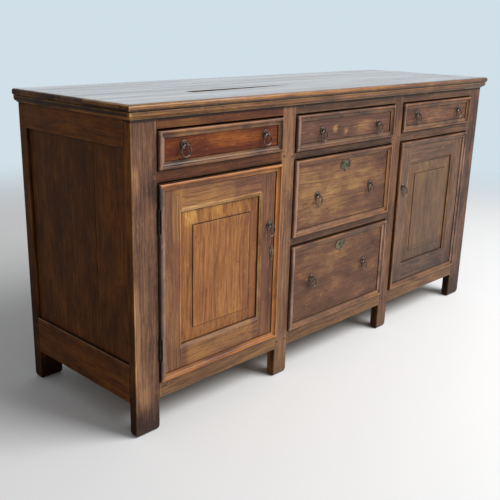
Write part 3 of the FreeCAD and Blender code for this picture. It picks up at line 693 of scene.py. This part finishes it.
# %% [markdown]
# ## The top
# Two wide boards make the top. They have shrunk and cupped, so along part of the joint the front board's edge
# has dropped and an open, dark line shows. The front board is cut by bisect_plane into short lengths along
# the joint, and the corner points there are let down and drawn back a little.

# %% Top boards and their opened joint
# Where along x the joint is open, and how much of the full gap it has there.
crack_places = [(-0.50, 0.0), (-0.482, 1.0), (-0.44, 0.85), (-0.36, 0.6), (-0.27, 0.45), (-0.18, 0.3),
                (-0.06, 0.0)]
sunk_width = 0.03
nosing_underside = 0.829


def open_joint(bm, drop, gap):
    """Lets the back edge of the front board down and away from its neighbour."""
    joint = max(vert.co.y for vert in bm.verts)
    top = max(vert.co.z for vert in bm.verts)
    cut(bm, 0, [x for x, _ in crack_places])
    cut(bm, 1, [joint - sunk_width])
    for vert in bm.verts:
        for x, share in crack_places:
            if abs(vert.co.x - x) < 0.0005 and vert.co.y > joint - 0.001:
                vert.co.y -= gap * share
                if vert.co.z > top - 0.001:
                    vert.co.z -= drop * share


def dull_edges(bm):
    """Rubbed wood on the front nosing and dark wood on the ends, where no polish is left."""
    for face in bm.faces:
        if face.normal.z < 0.85:
            face.material_index = 2 if abs(face.normal.x) > 0.3 and face.normal.z < 0.5 else 1


def front_board_tones(middle, point):
    """The front board darkens towards the right, and painted shade lies under its nosing."""
    return -0.1 * point.x - 0.25 * max(point.x, 0) - 0.6 * (point.z < nosing_underside)


front_board = welded("top_board_front")
dull_edges(front_board)
open_joint(front_board, drop=0.0045, gap=0.003)
finish_wood(front_board, "top_board_front", top_oak, nosing_oak, end_moulding_oak, crease=35,
            shift=front_board_tones)
back_board = welded("top_board_back")
dull_edges(back_board)
finish_wood(back_board, "top_board_back", top_oak, back_wood, end_moulding_oak, crease=35)

# %% [markdown]
# ## Moulding under the top
# A moulding runs under the top on the front and both ends, mitred at the corners. Along the front it is
# golden, with painted shade at its upper edge and its toe. On the ends only the lower edge is rubbed.

# %% Cornice
shaded_edge_z, shaded_toe_z = 0.8215, 0.8075
rubbed_edge_z, rubbed_edge_width = 0.815, 0.008


def cornice_tones(middle, point):
    """The front darkens towards the right and has painted shade at its upper edge and toe. On the ends, the
    lower edge is rubbed most near the front.
    """
    if abs(middle.x) < corner_post_x:
        # Painted shade in the groove under the nosing and under the toe.
        dirt = point.z > shaded_edge_z or point.z < shaded_toe_z
        return -0.09 - 0.24 * point.x - 0.6 * dirt
    lower_edge = min(max((rubbed_edge_z - point.z) / rubbed_edge_width, 0), 1)
    return -0.19 + lower_edge * (0.4 - 0.6 * point.y)


cornice = welded("top_edge_moulding")
for face in cornice.faces:
    face.material_index = int(abs(face.normal.x) > 0.1)
finish_wood(cornice, "top_edge_moulding", nosing_oak, end_moulding_oak, crease=35, spread=0,
            shift=cornice_tones)

# %% [markdown]
# ## Lips
# A thin moulded lip stands round every door and drawer front. It is what hands and clothes touch, so its
# crest is rubbed and partly carries a painted highlight, some sides have gone orange, others bright, partly
# as a painted highlight, and others darker. The upper edge is darkened as painted shade. Chance could choose
# the tones, but a table of the four sides follows the wear and the highlights.

# %% Lips round the doors and drawers
# The finish and tone of each front's lip, on its left, right, top and bottom. The palest sides are partly a
# painted highlight.
brown, polished, orange = range(3)
lip_finishes = {
    "left_drawer": ((polished, -0.18), (brown, 0.12), (brown, 0.04), (brown, -0.08)),
    "centre_drawer": ((polished, -0.14), (brown, 0.1), (brown, -0.16), (brown, -0.28)),
    "right_drawer": ((polished, -0.15), (brown, 0.08), (brown, -0.05), (brown, -0.1)),
    "middle_drawer": ((polished, 0.2), (brown, 0.33), (brown, -0.02), (brown, 0.05)),
    "bottom_drawer": ((polished, -0.12), (polished, 0.12), (brown, -0.08), (brown, -0.08)),
    "left_door": ((polished, -0.41), (orange, 0.35), (orange, 0.1), (orange, 0.22)),
    "right_door": ((brown, 0.0), (polished, -0.11), (brown, -0.1), (brown, 0.03))}
hollow_y, crest_rise = -0.2385, 0.0065


def side_of(middle, low, high):
    """0 to 3 for a strip on the left, right, top or bottom of a frame that reaches from low to high."""
    across = (middle.x - low.x) / (high.x - low.x)
    up = (middle.z - low.z) / (high.z - low.z)
    return 0 if across < 0.2 else 1 if across > 0.8 else 2 if up > 0.5 else 3


def lip_tones(front, low, high):
    """A lip's crest stands in front of the wood and is paler, rubbed and partly a painted highlight. Its hollow
    stays darker, and its upper edge is darkened as painted shade."""
    def tone(middle, point):
        side = side_of(middle, low, high)
        crest = min(max((hollow_y - point.y) / crest_rise, 0), 1)
        upper_edge = side == 2 and point.z > high.z - 0.0005
        return lip_finishes[front][side][1] + 0.3 * crest - 0.12 - 0.5 * upper_edge
    return tone


for front, sides in lip_finishes.items():
    lip = welded(front + "_edge_moulding")
    low, high = extent(lip.faces)
    for board in boards_in(lip):
        corner, far_corner = extent(board)
        for face in board:
            face.material_index = sides[side_of((corner + far_corner) / 2, low, high)][0]
    finish_wood(lip, front + "_edge_moulding", lip_oak, bright_lip_oak, orange_lip_oak, crease=35, spread=0,
                shift=lip_tones(front, low, high))

# %% [markdown]
# ## Drawers
# Each drawer is an oak front on a thin plain box. The boards came from different trees and have been waxed
# differently, so the left drawer is the reddest and the deep drawers are paler and blotched. Small pale spots
# show where older handles were.

# %% Drawer fronts and boxes
drawer_finishes = {"left_drawer": (drawer_oak, -0.04), "centre_drawer": (centre_drawer_oak, -0.06),
                   "right_drawer": (grey_drawer_oak, -0.08), "middle_drawer": (deep_drawer_oak, -0.02),
                   "bottom_drawer": (deep_drawer_oak, -0.04)}
handle_marks = {
    "centre_drawer": [(-0.0585, -0.0575, 0.7235, 0.7245, 0.6), (-0.005, -0.004, 0.7125, 0.7135, 0.4)],
    "middle_drawer": [(-0.067, -0.063, 0.539, 0.54, 0.6)]}
waxed_areas = {
    "left_drawer": [(-0.53, -0.43, 0.725, 0.735, 0.13), (-0.71, -0.66, 0.69, 0.71, 0.14)],
    "centre_drawer": [(0.06, 0.09, 0.715, 0.722, 0.25)],
    "right_drawer": [(0.45, 0.53, 0.72, 0.735, 0.12)],
    "middle_drawer": [(-0.2, -0.14, 0.46, 0.61, 0.22), (-0.08, 0.06, 0.53, 0.58, 0.12),
                      (0.17, 0.23, 0.44, 0.63, -0.06)],
    "bottom_drawer": [(0.15, 0.23, 0.15, 0.38, -0.1)]}
for drawer, (material, paler) in drawer_finishes.items():
    board = welded(drawer + "_front")
    marks = spot_tones(board, handle_marks.get(drawer, []), soft=(0.017, 0.015))
    areas = spot_tones(board, waxed_areas[drawer], soft=(0.05, 0.035))
    finish_wood(board, drawer + "_front", material, spread=0.02,
                shift=lambda middle, point: marks(middle, point) + areas(middle, point) + paler)
    finish_wood(welded(drawer + "_box"), drawer + "_box", inner_wood, slot="inner_wood")

# %% [markdown]
# ## Doors
# A door is two stiles and two rails, pegged round a panel whose edges are cut down to a bevel. The panel is
# the prettiest board of the piece and keeps the warmest colour. The lines of painted shadow and dirt, and of
# rubbed wood with a painted highlight, are too sharp for a spot with a soft edge, so narrow bands are cut for
# them and get a material of their own.

# %% Lines of painted shadow and dirt, and of rubbed wood with a painted highlight
def line_the_field(bm, width):
    """Second material on a narrow band round the raised field, a painted shadow that also stands for dirt
    against its step, and third on the bevel under the field."""
    front = min(vert.co.y for vert in bm.verts)
    field = [vert.co for vert in bm.verts if vert.co.y < front + 0.0002]
    x0, x1 = min(p.x for p in field), max(p.x for p in field)
    z0, z1 = min(p.z for p in field), max(p.z for p in field)
    cut(bm, 0, (x0 - width, x1 + 2 * width))
    cut(bm, 2, (z0 - width, z1 + width))
    for face in bm.faces:
        middle = face.calc_center_median()
        near = x0 - width < middle.x < x1 + 2 * width and z0 - width < middle.z < z1 + width
        on_field = face.normal.y < -0.999 and middle.y < front + 0.0002
        if near and not on_field and middle.y < front + 0.004:
            face.material_index = 1
        elif face.normal.z > 0.05 and face.normal.y < -0.8:
            face.material_index = 2
    print("field:", round(x1 - x0, 3), "by", round(z1 - z0, 3), "m")


def rub_arrises(bm, width):
    """Second material, pale from wear and a painted highlight, on the sloping inner edges of a door frame but
    the one that faces up, and on a line beside them on the left stile and the top rail."""
    slopes = [face for face in bm.faces
              if face.normal.y < -0.2 and max(abs(face.normal.x), abs(face.normal.z)) > 0.2]
    corners = [vert.co for face in slopes for vert in face.verts]
    x0, x1 = min(p.x for p in corners), max(p.x for p in corners)
    z0, z1 = min(p.z for p in corners), max(p.z for p in corners)
    # The sloping edge that faces up keeps the frame's finish, as the lamp lights it; the others get the painted
    # highlight.
    for face in slopes:
        face.material_index = int(face.normal.z < 0.2)
    cut(bm, 0, [x0 - width])
    cut(bm, 2, [z1 + width])
    for face in bm.faces:
        middle = face.calc_center_median()
        on_stile = x0 - width < middle.x < x0 and z0 < middle.z < z1
        on_rail = z1 < middle.z < z1 + width and x0 < middle.x < x1
        if face.normal.y < -0.99 and (on_stile or on_rail):
            face.material_index = 1


# %% Door frames and panels
worn_places = {
    "left_door_frame": [(-0.672, -0.656, 0.56, 0.632, 0.34), (-0.64, -0.48, 0.57, 0.58, 0.15),
                        (-0.63, -0.4, 0.14, 0.2, 0.24)],
    "left_door_panel": [(-0.632, -0.605, 0.535, 0.56, 0.25), (-0.43, -0.36, 0.2, 0.6, -0.11)],
    "right_door_frame": [(0.3, 0.73, 0.12, 0.2, -0.16)],
    "right_door_panel": [(0.35, 0.68, 0.18, 0.26, -0.12)]}
# How much paler the left stile, the right stile, the top rail and the bottom rail are than the finish.
member_tones = {"left_door": (0.06, -0.03, 0.05, -0.05), "right_door": (0.06, 0.01, -0.08, -0.02)}
for door, frame_oak, arris_oak, field_oak, slope_oak in (
        ("left_door", door_oak, worn_highlit_arris_oak, panel_oak, bevel_oak),
        ("right_door", sheen_grey_door_oak, grey_worn_highlit_arris_oak, sheen_grey_panel_oak, sheen_grey_panel_oak)):
    door_frame = welded(door + "_frame")
    low, high = extent(door_frame.faces)
    rub_arrises(door_frame, width=0.004)
    spots = spot_tones(door_frame, worn_places[door + "_frame"], soft=(0.015, 0.08))
    finish_wood(door_frame, door + "_frame", frame_oak, arris_oak, spread=0,
                shift=lambda middle, point: (spots(middle, point)
                                             + member_tones[door][side_of(middle, low, high)]))
    panel = welded(door + "_panel")
    line_the_field(panel, width=0.003)
    finish_wood(panel, door + "_panel", field_oak, rail_oak, slope_oak,
                shift=spot_tones(panel, worn_places[door + "_panel"]))

# %% [markdown]
# ## Iron and bronze
# The rings, eyes and hinges were forged by hand from iron and have gone nearly black, with faces left by the
# hammer. The keyhole plates are cast bronze that has tarnished to a dark green-brown and is rubbed brighter on
# its edges. The paler edges of the metal are also a painted highlight. Metal has no colour under its surface,
# so its whole look comes from the reflected light, and small changes of roughness matter more than colour. The
# shapes are right as they are, so the CAD meshes stay.

# %% Hand-worked metal
def dark_metal(name, shadow, body, rubbed, roughness, facet):
    """Metal with a dark skin, hammer marks of the given size in metres and paler edges, rubbed and partly a
    painted highlight.
    """
    material = bpy.data.materials.new(name)
    material.use_nodes = True
    tree = material.node_tree
    tree.nodes.clear()
    place = add(tree, "ShaderNodeTexCoord").outputs["Object"]
    skin = add(tree, "ShaderNodeTexNoise", {"Vector": place, "Scale": 0.5 / facet, "Detail": 4,
                                            "Roughness": 0.65}).outputs["Fac"]
    colour = add(tree, "ShaderNodeValToRGB", {"Fac": skin}, stops=[(0.35, shadow), (0.65, body)])
    convex = add(tree, "ShaderNodeAmbientOcclusion", {"Distance": 0.0015}, inside=True, only_local=True,
                 samples=8)
    edge = add(tree, "ShaderNodeMapRange", {"Value": convex.outputs["AO"], "From Min": 0.8, "From Max": 0.4,
                                            "To Max": 0.6}).outputs["Result"]
    colour = add(tree, "ShaderNodeMix", {"Factor": edge, 6: colour.outputs["Color"], 7: linear(rubbed)},
                 data_type="RGBA")
    shine = add(tree, "ShaderNodeMapRange", {"Value": skin, "From Min": 0.3, "From Max": 0.7,
                                             "To Min": roughness + 0.12, "To Max": roughness - 0.08})
    hammered = add(tree, "ShaderNodeTexVoronoi", {"Vector": place, "Scale": 1 / facet}, feature="SMOOTH_F1")
    bump = add(tree, "ShaderNodeBump", {"Strength": 0.5, "Distance": facet * 0.08,
                                        "Height": hammered.outputs["Distance"]})
    surface = add(tree, "ShaderNodeBsdfPrincipled", {
        "Base Color": colour.outputs[2], "Metallic": 1.0, "Roughness": shine.outputs["Result"],
        "Normal": bump.outputs["Normal"]})
    add(tree, "ShaderNodeOutputMaterial", {"Surface": surface.outputs["BSDF"]})
    return material


# %% Rings, hinges and keyhole plates
# Rings and eyes: brown-black, with a dull gleam on the edges where fingers hold them, partly a painted
# highlight. Hinges: blacker, as no hand rubs them.
forged_iron = dark_metal("forged_iron", "#3d332c", "#7d6d61", "#b3a498", roughness=0.36, facet=0.004)
black_iron = dark_metal("blackened_iron", "#1e1916", "#41372f", "#5c5048", roughness=0.5, facet=0.004)
# Keyhole plates: olive-brown, with paler rims, rubbed and partly a painted highlight.
tarnished_bronze = dark_metal("tarnished_bronze", "#38342a", "#7d735c", "#a89a78", roughness=0.42,
                              facet=0.006)
metals = {("_pull", "_pulls", "_ring", "_ring_left", "_ring_right"): forged_iron,
          ("_hinge_leaves",): black_iron, ("_keyhole_plate",): tarnished_bronze}
for name, node in frame["nodes"].items():
    for endings, metal in metals.items():
        if name.endswith(endings):
            node.data.materials.clear()
            node.data.materials.append(metal)
            print(name, "is", metal.name)

# %% [markdown]
# ## Floor and room
# The floor is a plain pale plane that only has to catch the shadow. Far from the piece it fades into the
# colour of the room, so that no horizon shows. A curved sheet behind the piece would do the same, but it would
# stand in the way of the views from behind. Rays that only bring light meet a dimmer room, because the pale
# background should not light the wood.

# %% Floor
room_colour = "#d0dfe8"
fade_from, fade_to = 1.9, 3.6


def pictured(tree):
    """1 for rays that show a thing in the picture or in a reflection, 0 for rays that only bring light."""
    path = add(tree, "ShaderNodeLightPath").outputs
    seen = add(tree, "ShaderNodeMath", {0: path["Is Camera Ray"], 1: path["Is Glossy Ray"]},
               operation="MAXIMUM")
    seen = add(tree, "ShaderNodeMath", {0: seen.outputs[0], 1: path["Is Transmission Ray"]},
               operation="MAXIMUM")
    return seen.outputs[0]


plane = bmesh.new()
bmesh.ops.create_grid(plane, x_segments=1, y_segments=1, size=14)
floor_mesh = bpy.data.meshes.new("pale_floor")
plane.to_mesh(floor_mesh)
plane.free()
floor = bpy.data.objects.new("pale_floor", floor_mesh)
bpy.context.scene.collection.objects.link(floor)
pale_floor = bpy.data.materials.new("pale_stone_floor")
pale_floor.use_nodes = True
tree = pale_floor.node_tree
tree.nodes.clear()
stone = add(tree, "ShaderNodeBsdfDiffuse", {"Color": linear("#eef0f3")})
far_room = add(tree, "ShaderNodeEmission", {"Color": linear(room_colour), "Strength": 1.0})
place = add(tree, "ShaderNodeTexCoord").outputs["Object"]
reach = add(tree, "ShaderNodeVectorMath", {0: place}, operation="LENGTH").outputs["Value"]
fade = add(tree, "ShaderNodeMapRange", {"Value": reach, "From Min": fade_from, "From Max": fade_to},
           interpolation_type="SMOOTHSTEP").outputs["Result"]
share = add(tree, "ShaderNodeMath", {0: pictured(tree), 1: fade}, operation="MULTIPLY")
blend = add(tree, "ShaderNodeMixShader", {0: share.outputs[0], 1: stone.outputs[0], 2: far_room.outputs[0]})
add(tree, "ShaderNodeOutputMaterial", {"Surface": blend.outputs[0]})
floor_mesh.materials.append(pale_floor)
print("floor:", round(floor.dimensions.x, 2), "m wide")

# %% World
world = bpy.data.worlds.new("pale_room")
bpy.context.scene.world = world
world.use_nodes = True
sky = world.node_tree
sky.nodes.clear()
fill = add(sky, "ShaderNodeBackground", {"Color": linear("#efeeec"), "Strength": 0.33})
backdrop = add(sky, "ShaderNodeBackground", {"Color": linear(room_colour), "Strength": 1.0})
both = add(sky, "ShaderNodeMixShader", {0: pictured(sky), 1: fill.outputs[0], 2: backdrop.outputs[0]})
add(sky, "ShaderNodeOutputWorld", {"Surface": both.outputs[0]})
print("world:", world.name)

# %% [markdown]
# ## Light and camera
# One broad lamp in front on the right lights the doors and drawers and leaves the left end in shade, and a
# wide soft panel behind gives the waxed top its pale reflection. The camera stands to the left of the front, a
# little above the top, and is turned by about one degree, as a camera held by hand is.

# %% Lamps
def soft_lamp(name, place, target, width, height, watts, colour):
    """A rectangular lamp that looks at a point."""
    lamp = bpy.data.lights.new(name, "AREA")
    lamp.shape = "RECTANGLE"
    lamp.size = width
    lamp.size_y = height
    lamp.energy = watts
    lamp.color = linear(colour)[:3]
    holder = bpy.data.objects.new(name, lamp)
    holder.location = place
    holder.rotation_euler = (Vector(target) - Vector(place)).to_track_quat("-Z", "Y").to_euler()
    holder.visible_camera = False
    bpy.context.scene.collection.objects.link(holder)
    print(name, watts, "W")


soft_lamp("front_window", (1.4, -2.7, 3.2), (0.0, -0.3, 0.3), width=3.0, height=2.4, watts=200,
          colour="#fffdfa")
soft_lamp("back_window", (3.3, 3.4, 2.3), (0.0, 0.0, 0.8), width=5.0, height=2.6, watts=18,
          colour="#eef5fb")

# %% Camera
view_direction = Vector((0.6761, 0.6733, -0.2992))
tilt = math.radians(1.1)
camera = bpy.data.cameras.new("view_from_the_left")
camera.sensor_width = 36
camera.lens = 53.45
camera.shift_x = 0.04
camera.shift_y = 0.01
stand = bpy.data.objects.new("view_from_the_left", camera)
stand.location = (-1.8233, -1.568, 1.016)
level = view_direction.to_track_quat("-Z", "Y")
stand.rotation_euler = (level @ Quaternion((0, 0, 1), tilt)).to_euler()
bpy.context.scene.collection.objects.link(stand)
bpy.context.scene.camera = stand
bpy.context.scene.view_settings.view_transform = "Standard"
print("camera at", [round(v, 3) for v in stand.location])

# %% [markdown]
# ## Finish
# The dressed piece has to fill the same box as the CAD model. At the end the scene is brought up to date.

# %% Bring the scene up to date
bpy.context.view_layer.update()
